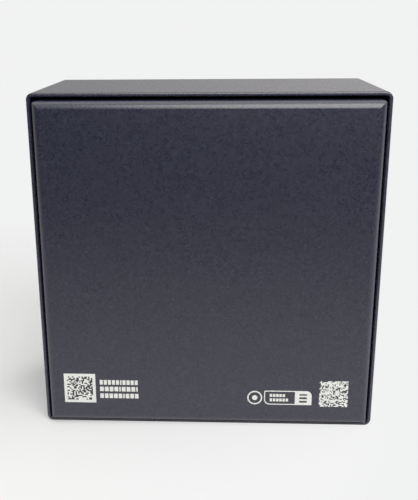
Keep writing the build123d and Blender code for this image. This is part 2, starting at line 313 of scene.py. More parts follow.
def foam():
    """Open-cell foam, cream, with small pores."""
    pore_shade, cream = rgb(0.4, 0.36, 0.27), rgb(0.74, 0.7, 0.58)
    pore_size = 0.7 * MM
    finish = Finish("foam", roughness=1.0, specular_ior_level=0.2)
    place = finish.place()
    cells = finish.add("ShaderNodeTexVoronoi", {"Vector": place, "Scale": 1 / pore_size}).outputs["Distance"]
    # Painted shade: darker in the pores, where the relief is lowest.
    colour = finish.mixed(finish.spread(cells, 0.1, 0.6), pore_shade, cream)
    relief = finish.bump(cells, 0.2 * MM)
    return finish.paint(base_color=colour, normal=relief)


def satin():
    """Ivory satin: fine ribs of floating warp threads that catch the light along one way."""
    soft, ivory, furrow_shade = rgb(0.62, 0.57, 0.47), rgb(0.71, 0.665, 0.565), rgb(0.47, 0.42, 0.33)
    thread_width, float_length = 0.32 * MM, 2.4 * MM
    finish = Finish("satin", roughness=0.36, specular_ior_level=0.55, anisotropic=0.55, sheen_weight=0.2)
    threads = finish.stretched(finish.place("UV"), (1 / thread_width, 1 / float_length, 1))
    rib = finish.add("ShaderNodeTexNoise", {"Vector": threads, "Scale": 1.0, "Detail": 2.0}).outputs["Fac"]
    cloud = finish.spread(finish.noise(finish.place(), 18 * MM, 2.0), 0.35, 0.65)
    colour = finish.mixed(cloud, soft, ivory)
    # Painted shade: the furrow colour darkens the low places between the ribs.
    colour = finish.mixed(finish.spread(rib, 0.35, 0.7, 0.3, 0.0), colour, furrow_shade)
    relief = finish.bump(rib, 0.03 * MM)
    return finish.paint(base_color=colour, normal=relief)


def ribbon_weave():
    """Navy grosgrain: ribs across the ribbon, with a tight woven edge on each side."""
    furrow_shade, navy, edging = rgb(0.008, 0.01, 0.022), rgb(0.03, 0.036, 0.066), rgb(0.014, 0.017, 0.034)
    rib_pitch = 0.75 * MM
    edge_start, edge_full = 5.2 * MM, 5.5 * MM  # distances from the ribbon's middle line
    finish = Finish("ribbon_weave", roughness=0.55, specular_ior_level=0.5, sheen_weight=0.3)
    parts = finish.add("ShaderNodeSeparateXYZ", {0: finish.place("UV")})
    across, along = parts.outputs[0], parts.outputs[1]
    turns = finish.maths("MULTIPLY", along, 2 * math.pi / rib_pitch)
    rib = finish.spread(finish.maths("SINE", turns), -1.0, 1.0)
    edge = finish.spread(finish.maths("ABSOLUTE", across), edge_start, edge_full)
    # Painted shade: the furrow colour darkens the grooves between the ribs.
    colour = finish.mixed(rib, furrow_shade, navy)
    colour = finish.mixed(finish.maths("MULTIPLY", edge, 0.6), colour, edging)
    relief = finish.bump(finish.maths("MULTIPLY", rib, finish.spread(edge, 0.0, 1.0, 1.0, 0.3)), 0.12 * MM)
    return finish.paint(base_color=colour, normal=relief)


def staple_wire():
    """Bright steel wire with fine drawn scratches."""
    dull, bright = rgb(0.42, 0.42, 0.43), rgb(0.62, 0.62, 0.63)
    finish = Finish("staple_wire", metallic=1.0)
    place = finish.stretched(finish.place(), (0.1, 1, 1))
    scratch = finish.noise(place, 0.12 * MM, 2.0)
    colour = finish.mixed(scratch, dull, bright)
    roughness = finish.spread(scratch, 0.3, 0.7, 0.22, 0.4)
    return finish.paint(base_color=colour, roughness=roughness)


def ink(name, body, thin):
    """Screen-printed ink, a little uneven where the paper's grain shows through."""
    finish = Finish(name, roughness=0.55, specular_ior_level=0.4)
    place = finish.place()
    grain = finish.spread(finish.noise(place, 0.45 * MM, 3.0, 0.7), 0.52, 0.85)
    colour = finish.mixed(finish.maths("MULTIPLY", grain, 0.45), body, thin)
    relief = finish.bump(finish.noise(place, 0.34 * MM, 2.0), 0.01 * MM)
    return finish.paint(base_color=colour, normal=relief)


BASE_PAPER = wrap_paper("base_wrap_paper", BASE_LOW, BASE_HIGH)
LID_PAPER = wrap_paper("lid_wrap_paper", LID_LOW, LID_HIGH)
GREYBOARD = greyboard()
STAY_PAPER = stay_paper()
LINING = lining_paper()
PLATFORM_SUEDE = suede("platform_suede_paper", rgb(0.5, 0.455, 0.365), rgb(0.61, 0.565, 0.47), 0.5 * MM)
CUSHION_SUEDE = suede("cushion_suede", rgb(0.55, 0.5, 0.4), rgb(0.66, 0.615, 0.515), 0.6 * MM)
WELL_CARD = well_card()
FOAM = foam()
SATIN = satin()
RIBBON = ribbon_weave()
STAPLE = staple_wire()
PALE_INK = ink("pale_ink", rgb(0.61, 0.615, 0.59), rgb(0.35, 0.35, 0.36))
DARK_INK = ink("dark_ink", rgb(0.03, 0.03, 0.045), rgb(0.1, 0.1, 0.11))

NODE_FINISHES = {
    "base_wrap": BASE_PAPER,
    "lid_wrap": LID_PAPER,
    "base_board": GREYBOARD,
    "lid_board": GREYBOARD,
    "platform_board": GREYBOARD,
    "base_corner_stays": STAY_PAPER,
    "lid_corner_stays": STAY_PAPER,
    "platform_corner_stays": STAY_PAPER,
    "base_wall_lining": LINING,
    "base_floor_lining": LINING,
    "lid_wall_lining": LINING,
    "lid_ceiling_lining": LINING,
    "platform_cover": PLATFORM_SUEDE,
    "cushion_well": WELL_CARD,
    "cushion_card": WELL_CARD,
    "lid_pad_card": WELL_CARD,
    "cushion_suede": CUSHION_SUEDE,
    "cushion_foam": FOAM,
    "lid_pad_foam": FOAM,
    "lid_pad_satin": SATIN,
    "ribbon_tail": RIBBON,
    "ribbon_loop": RIBBON,
    "ribbon_staple": STAPLE,
}
for node_name, node_finish in NODE_FINISHES.items():
    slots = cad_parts[node_name].material_slots
    for node_slot in slots:
        node_slot.material = node_finish


# ---------------------------------------------------------------- printed marks on the base panel

INK_THICKNESS = 0.03 * MM
INK_SUNK = 0.02 * MM            # how far a layer's back lies in what it is printed on


def ink_tiles(low_x, low_z, high_x, high_z, level):
    """Thin closed tiles on the panel, one for each set of bounds, level above its face.

    A tile's eight points are every choice of one x, one depth and one z from its bounds.
    """
    bounds = np.stack([np.atleast_1d(part) for part in (low_x, low_z, high_x, high_z)], axis=-1)
    front = BASE_FACE - level - INK_THICKNESS
    back = BASE_FACE - level + INK_SUNK
    corner_x = bounds[:, [0, 2, 2, 0]]
    corner_z = bounds[:, [1, 1, 3, 3]]
    near = np.stack([corner_x, np.full_like(corner_x, front), corner_z], axis=-1)
    far = np.stack([corner_x, np.full_like(corner_x, back), corner_z], axis=-1)
    points = np.concatenate([near, far], axis=1).reshape(-1, 3)
    sides = [[side, (side + 4), (side + 1) % 4 + 4, (side + 1) % 4] for side in range(4)]
    cube = np.array([[0, 1, 2, 3], [7, 6, 5, 4], *sides])
    faces = (8 * np.arange(len(bounds))[:, None, None] + cube).reshape(-1, 4)
    return points, faces


def ink_plate(outline, hole, level):
    """A thin closed plate on the panel between an outline and a hole of as many points.

    Both are (n, 2) arrays that run the same way round. Without a hole the plate is solid.
    """
    count = len(outline)
    inner = outline[:0] if hole is None else hole
    ring = np.concatenate([outline, inner])
    depth = np.repeat([BASE_FACE - level - INK_THICKNESS, BASE_FACE - level + INK_SUNK], len(ring))
    flat = np.concatenate([ring, ring])
    points = np.stack([flat[:, 0], depth, flat[:, 1]], axis=-1)
    here = np.arange(count)
    following = (here + 1) % count
    back = len(ring)
    rim = np.stack([here, here + back, following + back, following], axis=-1)
    if hole is None:
        return points, [*rim, here, here[::-1] + back]
    bore = np.stack([here, following, following + back, here + back], axis=-1) + count
    front = np.stack([here, following, following + count, here + count], axis=-1)
    rear = front[:, ::-1] + back
    return points, [*rim, *bore, *front, *rear]


def rounded(low_x, low_z, high_x, high_z, radii, steps=8):
    """A rectangle's outline with one radius for each corner, from the lower left, anticlockwise.

    Each corner is the quarter circle centre + radius (cos a, sin a).
    """
    centres = [(low_x, low_z, 1, 1, 180), (high_x, low_z, -1, 1, 270),
               (high_x, high_z, -1, -1, 0), (low_x, high_z, 1, -1, 90)]
    arcs = []
    for (x, z, right, up, start), radius in zip(centres, radii):
        angle = np.radians(np.linspace(start, start + 90, steps))
        arcs.append(np.stack([x + radius * (right + np.cos(angle)), z + radius * (up + np.sin(angle))], -1))
    return np.concatenate(arcs)


def joined(parts):
    """Several (points, faces) pairs as one."""
    starts = np.cumsum([0] + [len(points) for points, _ in parts[:-1]])
    faces = [np.asarray(face) + start for (_, part), start in zip(parts, starts) for face in part]
    return np.concatenate([points for points, _ in parts]), faces


def scattered_cells(count, seed, share):
    """A made-up square pattern of filled cells.

    Cell (row, column) is filled where the fraction of a large sine of the two is under the share.
    """
    row_turn, column_turn, height = 12.9898, 78.233, 43758.5453
    row, column = np.mgrid[0:count, 0:count]
    wave = np.sin(row * row_turn + column * column_turn + seed) * height
    return (wave - np.floor(wave)) < share


def cell_tiles(filled, low_x, low_z, side, level):
    """One tile for each run of filled cells in a row of the pattern."""
    count = len(filled)
    cell = side / count
    padded_rows = np.pad(filled.astype(int), ((0, 0), (1, 1)))
    change = np.diff(padded_rows, axis=1)
    row, start = np.nonzero(change == 1)
    _, end = np.nonzero(change == -1)
    gap = 0.02 * cell
    bottom = low_z + row * cell
    return ink_tiles(low_x + start * cell, bottom + gap, low_x + end * cell, bottom + cell - gap, level)


def block_row(low_x, low_z, height, widths, gap):
    """A row of plain blocks of the given widths, side by side."""
    ends = np.cumsum(np.asarray(widths) + gap) - gap
    starts = ends - widths
    return ink_tiles(low_x + starts, np.full_like(starts, low_z), low_x + ends,
                     np.full_like(starts, low_z + height), 0.0)


def cell_tile():
    """A pale square tile, and the dark cells on it inside an even margin."""
    x, z, side, margin = -58.9 * MM, 10.2 * MM, 13.0 * MM, 1.2 * MM
    tile = ink_tiles(x, z, x + side, z + side, 0.0)
    filled = scattered_cells(19, 3.0, 0.5)
    return tile, cell_tiles(filled, x + margin, z + margin, side - 2 * margin, INK_THICKNESS)


def block_lines():
    """Three lines of plain blocks, each with its own width of block and one or two narrow ones."""
    left, height, gap, narrow = -44.1 * MM, 2.05 * MM, 0.42 * MM, 0.6 * MM
    lines = []
    for low, wide, narrow_places, count in ((18.45 * MM, 1.25 * MM, [5], 10),
                                            (15.45 * MM, 1.57 * MM, [4, 8], 9),
                                            (12.35 * MM, 1.48 * MM, [5], 9)):
        widths = np.full(count, wide)
        widths[narrow_places] = narrow
        lines.append(block_row(left, low, height, widths, gap))
    return lines


def ring_mark():
    """A ring and a dot in its middle, as points r (cos a, sin a) round one centre."""
    centre = np.array([19.4, 13.55]) * MM
    outer, bore, dot = 3.05 * MM, 2.5 * MM, 1.1 * MM
    turn = np.radians(np.arange(0, 360, 7.5))
    circle = np.stack([np.cos(turn), np.sin(turn)], axis=-1)
    ring = ink_plate(centre + outer * circle, centre + bore * circle, 0.0)
    return ring, ink_plate(centre + dot * circle, None, 0.0)


def banner_mark():
    """A rounded banner: a window with two rows of blocks, and a solid end with three dark bars."""
    left, low, right, high = 23.2 * MM, 10.5 * MM, 42.5 * MM, 16.8 * MM
    line, split = 0.4 * MM, 35.7 * MM
    outer = rounded(left, low, right, high, (2.2 * MM, 0.3 * MM, 2.2 * MM, 0.6 * MM))
    inner = rounded(left + line, low + line, split, high - line, (1.9 * MM, 0.1 * MM, 0.1 * MM, 0.3 * MM))
    block_left, block_width, block_height, block_gap = 25.5 * MM, 1.0 * MM, 1.3 * MM, 0.3 * MM
    rows = [block_row(block_left, row_low, block_height, np.full(count, block_width), block_gap)
            for row_low, count in ((14.0 * MM, 5), (12.0 * MM, 6))]
    bar_left, bar_right = np.full(3, 37.5 * MM), np.full(3, 40.6 * MM)
    bar_low, bar_high = np.array([11.6, 13.2, 14.8]) * MM, np.array([12.4, 14.0, 15.4]) * MM
    bars = ink_tiles(bar_left, bar_low, bar_right, bar_high, INK_THICKNESS)
    return [ink_plate(outer, inner, 0.0), *rows], bars


def cell_block():
    """A square of pale cells printed straight on the panel."""
    x, z, side = 45.5 * MM, 9.9 * MM, 11.5 * MM
    return cell_tiles(scattered_cells(25, 11.0, 0.62), x, z, side, 0.0)


def printed_marks():
    """Plain stand-ins at the lower edge of the panel, in pale ink, with dark ink on two of them."""
    tile, tile_cells = cell_tile()
    banner, bars = banner_mark()
    pale = joined([tile, *block_lines(), *ring_mark(), *banner, cell_block()])
    marks = put_mesh("pale_marks", *pale, PALE_INK, smooth=False)
    cells = put_mesh("dark_marks", *joined([tile_cells, bars]), DARK_INK, smooth=False)
    for piece in (marks, cells):
        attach(piece, "base")


printed_marks()


# ---------------------------------------------------------------- padded pieces

class PadShape:
    """A padded panel's form in its body's frame: x and y across it, heights from the outer face.

    Its plan is a rounded rectangle whose sides are drawn in between its corners. A point (s, t) of
    the unit square is carried to it by x = s (w - d (1 - t^2) |s|^3) and likewise for y, and in the
    corners the square is carried to a quarter disc by a' = a sqrt(1 - b^2 / 2).
    """

    def __init__(self, width, height, corner, drawn_in, bottom, top, crown, roll, hem, crown_power):
        """Lengths in metres. crown_power is p in the formula of crown_grid."""
        self.half = np.array([width / 2, height / 2])
        self.corner = corner
        self.drawn_in = drawn_in
        self.bottom = bottom            # height of the underside
        self.top = top                  # height of the crown
        self.crown = crown              # crown above the edge
        self.roll = roll                # radius of the upper edge
        self.hem = hem                  # cover turned under
        self.crown_power = crown_power

    def plan(self, s, t, inset, corner):
        """Places on the plan drawn in by inset, for s and t from -1 to 1."""
        half_x, half_y = self.half - inset
        along = self.corner_fold(np.abs(s) * half_x, np.abs(t) * half_y, half_x, half_y, corner)
        x, y = along
        x = x - self.drawn_in * (1 - t ** 2) * np.abs(s) ** 3
        y = y - self.drawn_in * (1 - s ** 2) * np.abs(t) ** 3
        return np.sign(s) * x, np.sign(t) * y

    @staticmethod
    def corner_fold(x, y, half_x, half_y, corner):
        """Places of one quarter of the plan, with its square corner carried to a quarter disc."""
        a = np.clip((x - half_x + corner) / corner, 0, 1)
        b = np.clip((y - half_y + corner) / corner, 0, 1)
        folded_x = np.where(a > 0, half_x - corner + corner * a * np.sqrt(1 - b ** 2 / 2), x)
        folded_y = np.where(b > 0, half_y - corner + corner * b * np.sqrt(1 - a ** 2 / 2), y)
        return folded_x, folded_y

    def crown_grid(self, s, t):
        """The crowned top: edge height + crown (1 - |s|^p) (1 - |t|^p)."""
        least_corner = 0.5 * MM
        s, t = np.meshgrid(s, t)
        x, y = self.plan(s, t, self.roll, max(self.corner - self.roll, least_corner))
        power = self.crown_power
        rise = (1 - np.abs(s) ** power) * (1 - np.abs(t) ** power)
        return np.stack([x, y, self.top - self.crown * (1 - rise)], axis=-1)

    def side_rows(self, rim, closing):
        """Rings from the rolled edge down the side, under the hem and up to the closing height.

        Each ring is the plan drawn in by its own inset, at its own height. The upper roll is a
        quarter circle, the side bulges by a shallow sine, and the lower roll is another quarter.
        """
        edge = self.top - self.crown
        foot, bulge, lift = 0.9 * MM, 0.25 * MM, 0.3 * MM
        least_corner = 1.2 * MM
        upper = np.radians([24, 42, 60, 76, 90])
        upper_inset = self.roll * (1 - np.sin(upper))
        upper_height = edge - self.roll * (1 - np.cos(upper))
        share = np.linspace(0, 1, 7)[1:-1]
        side_height = (1 - share) * upper_height[-1] + share * (self.bottom + foot)
        side_inset = -bulge * np.sin(np.pi * share)
        lower = np.radians([0, 30, 60, 90])
        lower_inset = foot * (1 - np.cos(lower))
        lower_height = self.bottom + foot * (1 - np.sin(lower))
        under = np.linspace(foot, self.hem, 5)[1:]
        inset = np.concatenate([upper_inset, side_inset, lower_inset, under, [self.hem + lift] * 2])
        height = np.concatenate([upper_height, side_height, lower_height, np.full(len(under), self.bottom),
                                 [self.bottom + lift, closing]])
        s, t = rim
        rings = []
        for ring_inset, ring_height in zip(inset, height):
            corner = max(self.corner - ring_inset, least_corner)
            x, y = self.plan(s, t, ring_inset, corner)
            rings.append(np.stack([x, y, np.full_like(x, ring_height)], axis=-1))
        return np.array(rings)


def rim_of(s, t):
    """The border of the grid of s and t, anticlockwise from its lower left, as two arrays."""
    border_s = np.concatenate([s[:-1], np.full(len(t) - 1, s[-1]), s[:0:-1], np.full(len(t) - 1, s[0])])
    border_t = np.concatenate([np.full(len(s) - 1, t[0]), t[:-1], np.full(len(s) - 1, t[-1]), t[:0:-1]])
    return border_s, border_t


def rim_index(columns, rows):
    """The same border as indices of grid points numbered row by row."""
    index = np.arange(rows * columns).reshape(rows, columns)
    return np.concatenate([index[0, :-1], index[:-1, -1], index[-1, :0:-1], index[:0:-1, 0]])


def pad_faces(columns, rows, rings):
    """Faces of a whole pad: its top grid, the rings round it, and a fan that closes it below."""
    rim = rim_index(columns, rows)
    first = rows * columns
    ring_index = np.concatenate([rim[None], first + np.arange(rings * len(rim)).reshape(rings, len(rim))])
    looped = np.concatenate([ring_index, ring_index[:, :1]], axis=1)
    sides = np.stack([looped[1:, :-1], looped[1:, 1:], looped[:-1, 1:], looped[:-1, :-1]], axis=-1)
    pole = first + rings * len(rim)
    fan = np.stack([looped[-1, 1:], looped[-1, :-1], np.full(len(rim), pole)], axis=-1)
    return [*grid_quads(rows, columns), *sides.reshape(-1, 4), *fan]


def pad_points(top, rings):
    """Every point of a pad: the top row by row, the rings, and the closing pole."""
    pole = rings[-1].mean(axis=0, keepdims=True)
    return np.concatenate([top.reshape(-1, 3), rings.reshape(-1, 3), pole])


def bilinear(table, s_lines, t_lines, s, t):
    """A table over the grid of t_lines and s_lines, read between its lines at every s and t."""
    column = np.clip(np.searchsorted(s_lines, s) - 1, 0, len(s_lines) - 2)
    row = np.clip(np.searchsorted(t_lines, t) - 1, 0, len(t_lines) - 2)
    across = ((s - s_lines[column]) / (s_lines[column + 1] - s_lines[column]))[None, :, None]
    along = ((t - t_lines[row]) / (t_lines[row + 1] - t_lines[row]))[:, None, None]
    low = table[row][:, column] * (1 - across) + table[row][:, column + 1] * across
    high = table[row + 1][:, column] * (1 - across) + table[row + 1][:, column + 1] * across
    return low * (1 - along) + high * along


def rim_length(s, t):
    """Distance round the unit square for points of its border, from 0 to 8."""
    step = np.hypot(np.diff(s, append=s[0]), np.diff(t, append=t[0]))
    return np.concatenate([[0], np.cumsum(step)[:-1]])


SIMULATION_SCALE = 10           # the cloth solver works best on pieces about a metre across
COARSE_LINES = 45               # lines each way across a pad in its simulation
FREE_RINGS = 9                  # rings down a pad's side that may move in it
HELD_AT_SLIT = 1.3 * MM         # points nearer than this to a slit's middle line stay
CLOSED_IN_CARD = 0.4 * MM       # depth in a pad's card at which its cover is closed, out of sight


def swollen(name, points, faces, held, pressure, shrink, steps=20):
    """Where a pad's points go when air pressure fills its cloth while the held points stay.

    The cloth is simulated ten times as large as the pad, without gravity, and read back.
    """
    piece = put_mesh(name, points * SIMULATION_SCALE, faces, FOAM)
    group = piece.vertex_groups.new(name="held")
    for weight in np.unique(held[held > 0]):
        group.add(np.nonzero(held == weight)[0].tolist(), float(weight), "REPLACE")
    cloth = piece.modifiers.new("cloth", "CLOTH")
    settings = cloth.settings
    settings.quality = 6
    settings.mass = 0.3
    settings.vertex_group_mass = "held"
    settings.tension_stiffness = 12
    settings.compression_stiffness = 12
    settings.shear_stiffness = 6
    settings.bending_stiffness = 0.6
    settings.use_pressure = True
    settings.uniform_pressure_force = pressure
    settings.shrink_min = shrink
    settings.effector_weights.gravity = 0
    cloth.collision_settings.use_collision = False
    cloth.point_cache.frame_start = 1
    cloth.point_cache.frame_end = steps
    for step in range(1, steps + 1):
        bpy.context.scene.frame_set(step)
    evaluated = piece.evaluated_get(bpy.context.evaluated_depsgraph_get())
    moved = np.zeros(len(points) * 3, np.float32)
    evaluated.data.vertices.foreach_get("co", moved)
    mesh = piece.data
    bpy.data.objects.remove(piece)
    bpy.data.meshes.remove(mesh)
    bpy.context.scene.frame_set(1)
    return moved.reshape(-1, 3).astype(float) / SIMULATION_SCALE - points


def capped(shift, most):
    """Shifts no longer than most."""
    length = np.linalg.norm(shift, axis=-1, keepdims=True)
    return shift * np.minimum(1, most / np.maximum(length, TINY))


def slit_profile(top, slits):
    """Sink the slits into a pad's top.

    The distance of a point from a slit's middle line is squeezed towards it, and its height is
    lowered, by the same curve all round: floor, steep wall, rounded lip and a soft dip outside.
    """
    reach = np.array([0.0, 0.7, 1.2, 1.7, 2.2, 2.8, 3.6, 4.4, 5.2]) * MM
    squeezed = np.array([0.0, 0.55, 0.72, 0.8, 0.98, 1.75, 3.1, 4.25, 5.2]) * MM
    depth = np.array([10.0, 9.7, 6.0, 1.9, 0.85, 0.3, 0.1, 0.03, 0.0]) * MM
    x, y, height = np.moveaxis(top.copy(), -1, 0)
    for centre, half_length in slits:
        nearest = np.clip(y, -half_length, half_length)
        away_x, away_y = x - centre, y - nearest
        distance = np.hypot(away_x, away_y)
        inside = distance < reach[-1]
        scale = np.interp(distance, reach, squeezed) / np.maximum(distance, TINY)
        x = np.where(inside, centre + away_x * scale, x)
        y = np.where(inside, nearest + away_y * scale, y)
        height = np.where(inside, height - np.interp(distance, reach, depth), height)
    return np.stack([x, y, height], axis=-1)


def make_pad(name, shape, s, t, closing, finish, place, pressure, shrink, cap, slits=()):
    """A padded piece: its form on fine lines, plus what a simulation on coarse lines adds to it."""
    fine_rim = rim_of(s, t)
    top = shape.crown_grid(s, t)
    rings = shape.side_rows(fine_rim, closing)
    coarse = np.linspace(-1, 1, COARSE_LINES)
    coarse_rim = rim_of(coarse, coarse)
    coarse_top = shape.crown_grid(coarse, coarse)
    coarse_rings = shape.side_rows(coarse_rim, closing)
    points = pad_points(coarse_top, coarse_rings)
    on_top = COARSE_LINES ** 2
    hold = np.zeros(len(points))
    hold[on_top + FREE_RINGS * len(coarse_rim[0]):] = 1.0
    for centre, half_length in slits:
        nearest = np.clip(points[:, 1], -half_length, half_length)
        distance = np.hypot(points[:, 0] - centre, points[:, 1] - nearest)
        hold[(distance < HELD_AT_SLIT) & (points[:, 2] > closing)] = 1.0
    faces = pad_faces(COARSE_LINES, COARSE_LINES, len(coarse_rings))
    shift = capped(swollen(name + "_cloth", points, faces, hold, pressure, shrink), cap)
    top_shift = shift[:on_top].reshape(COARSE_LINES, COARSE_LINES, 3)
    top = top + bilinear(top_shift, coarse, coarse, s, t)
    ring_shift = shift[on_top:-1].reshape(len(coarse_rings), -1, 3)
    where, known = rim_length(*fine_rim), rim_length(*coarse_rim)
    for ring, moved in zip(rings, ring_shift):
        for axis in range(3):
            ring[:, axis] += np.interp(where, known, moved[:, axis], period=8.0)
    if slits:
        top = slit_profile(top, slits)
    points = place(pad_points(top, rings))
    flat = np.concatenate([top[..., :2].reshape(-1, 2), rings[..., :2].reshape(-1, 2), [[0, 0]]])
    return put_mesh(name, points, pad_faces(len(s), len(t), len(rings)), finish, uv=flat)


def cushion_lines(half, corner, slit_zone, middle_step):
    """Lines across the cushion from -1 to 1: close at its edges and slits, wider in between."""
    edge_step, plain_step, slit_step = 0.7 * MM, 1.4 * MM, 0.42 * MM
    stops = np.array([*slit_zone, half - corner, half])
    steps = [slit_step, plain_step, edge_step]
    return spaced([*-stops[::-1], *stops], [*steps[::-1], middle_step, *steps]) / half


def cushion_pad():
    """The suede cushion with its two cufflink slits, crowned between them."""
    low, high = CUSHION_LOW, CUSHION_HIGH
    width, height = high[0] - low[0], high[2] - low[2]
    bottom, top = low[1] - BASE_FACE, high[1] - BASE_FACE
    corner, swell_room = 3.6 * MM, 0.5 * MM
    shape = PadShape(width, height, corner, drawn_in=0.6 * MM, bottom=bottom, top=top - swell_room,
                     crown=3.4 * MM, roll=2.2 * MM, hem=9.0 * MM, crown_power=2.4)
    slit_x, slit_half = 18.0 * MM, 12.4 * MM
    s = cushion_lines(width / 2, corner, (12.5 * MM, 23.5 * MM), 1.6 * MM)
    t = cushion_lines(width / 2, corner, (10.5 * MM, 18.5 * MM), 1.4 * MM)
    closing = CUSHION_CARD_FACE - BASE_FACE + CLOSED_IN_CARD
    pad = make_pad("cushion_pad", shape, s, t, closing, CUSHION_SUEDE, on_base, pressure=3.0, shrink=0.0,
                   cap=1.6 * MM, slits=((-slit_x, slit_half), (slit_x, slit_half)))
    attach(pad, "cushion")
    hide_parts("cushion_suede", "cushion_foam")
    return pad


def lid_pad():
    """The thin satin pad on the lid's ceiling."""
    low, high = LID_PAD_LOW, LID_PAD_HIGH
    width, height = high[0] - low[0], high[2] - low[2]
    bottom, top = LID_HIGH[1] - high[1], LID_HIGH[1] - low[1]
    swell_room = 0.6 * MM
    shape = PadShape(width, height, corner=6.0 * MM, drawn_in=1.2 * MM, bottom=bottom,
                     top=top - swell_room, crown=2.6 * MM, roll=2.6 * MM, hem=10.0 * MM, crown_power=2.6)
    lines = spaced([-1, -0.9, 0.9, 1], [0.018, 0.022, 0.018])
    closing = LID_HIGH[1] - LID_CARD_FACE + CLOSED_IN_CARD
    pad = make_pad("lid_pad_cushion", shape, lines, lines, closing, SATIN, on_lid, pressure=2.0,
                   shrink=-0.02, cap=1.4 * MM)
    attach(pad, "lid")
    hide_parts("lid_pad_satin", "lid_pad_foam")
    return pad


cushion_pad()
lid_pad()


# ---------------------------------------------------------------- ribbon pull

def along_path(corner_points, radii, step):
    """Points along straight runs joined by tangent arcs in a plane, about step apart.

    Each arc starts and ends radius times the tangent of half its turn away from its corner.
    """
    pieces = [corner_points[:1]]
    for before, corner, after, radius in zip(corner_points, corner_points[1:], corner_points[2:], radii):
        arriving = (corner - before) / np.linalg.norm(corner - before)
        leaving = (after - corner) / np.linalg.norm(after - corner)
        turn = math.acos(np.clip(arriving @ leaving, -1, 1))
        side = np.sign(arriving[0] * leaving[1] - arriving[1] * leaving[0])
        start = corner - arriving * radius * math.tan(turn / 2)
        normal = side * np.array([-arriving[1], arriving[0]])
        angle = np.linspace(0, turn, max(4, math.ceil(radius * turn / step) + 1))[:, None]
        pieces.append(start + radius * (np.sin(angle) * arriving + (1 - np.cos(angle)) * normal))
    pieces.append(corner_points[-1:])
    line = np.concatenate(pieces)
    length = np.concatenate([[0], np.cumsum(np.linalg.norm(np.diff(line, axis=0), axis=1))])
    same_place = 1e-7
    keep = np.concatenate([[True], np.diff(length) > same_place])
    line, length = line[keep], length[keep]
    even = np.linspace(0, length[-1], math.ceil(length[-1] / step) + 1)
    return np.stack([np.interp(even, length, line[:, axis]) for axis in range(2)], axis=-1), even


def ribbon_pull():
    """One ribbon: from under the cushion up its side, out over the platform and folded back.

    Its section is a flat rounded strip, carried along a path in the plane of depth and height: half
    the width x sgn(cos a) |cos a|^0.12 across, and half the thickness x sgn(sin a) |sin a|^0.6.
    """
    thickness, half_layer, settle = 0.36 * MM, 0.2 * MM, 0.02 * MM
    half_width = (TAIL_HIGH[0] - TAIL_LOW[0]) / 2
    side = TAIL_LOW[2] + half_layer             # middle of the ribbon on the cushion's side
    under = TAIL_LOW[1] + half_layer            # middle of the ribbon below the cushion
    lower = LOOP_LOW[1] + half_layer            # middle of the loop's lower layer
    upper = LOOP_HIGH[1] - half_layer
    tip = LOOP_LOW[2] + half_layer
    root = side - 0.75 * MM                     # where the loop leaves the cushion
    rise = 0.105 * MM                           # of the upper layer, behind its root
    path = np.array([
        (TAIL_HIGH[2], under),
        (side, under),
        (side, lower + settle),
        (root - 4 * MM, lower + settle),
        (tip, lower - settle),
        (tip, upper),
        (root - 5 * MM, upper + rise),
        (side - 0.3 * MM, upper - settle),
    ])
    fold = 0.98 * (upper - lower) / 2
    radii = [0.5 * MM, 0.55 * MM, 20 * MM, fold, fold, 20 * MM]
    line, travel = along_path(path, radii, step=0.16 * MM)
    tangent = np.gradient(line, axis=0)
    tangent /= np.linalg.norm(tangent, axis=1, keepdims=True)
    normal = np.stack([-tangent[:, 1], tangent[:, 0]], axis=-1)

    around = np.radians(np.arange(0, 360, 15))
    flatness, edge_roundness = 0.12, 0.6
    across = np.sign(np.cos(around)) * np.abs(np.cos(around)) ** flatness * half_width
    proud = np.sign(np.sin(around)) * np.abs(np.sin(around)) ** edge_roundness * thickness / 2
    centre = line[:, None, :] + normal[:, None, :] * proud[None, :, None]
    points = np.stack([np.broadcast_to(across, centre.shape[:2]), centre[..., 1], centre[..., 0]], axis=-1)
    rows, columns = points.shape[:2]
    faces = [*grid_quads(rows, columns, closed=True)]
    faces += [np.arange(columns)[::-1], np.arange(columns) + (rows - 1) * columns]
    uv = np.stack([np.broadcast_to(across, (rows, columns)), np.repeat(travel[:, None], columns, axis=1)], -1)
    ribbon = put_mesh("pull_ribbon", points.reshape(-1, 3), faces, RIBBON, uv=uv.reshape(-1, 2))
    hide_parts("ribbon_tail", "ribbon_loop")
    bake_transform(ribbon)
    return ribbon


ribbon_pull()


# ---------------------------------------------------------------- paper flaps at the walls' ends

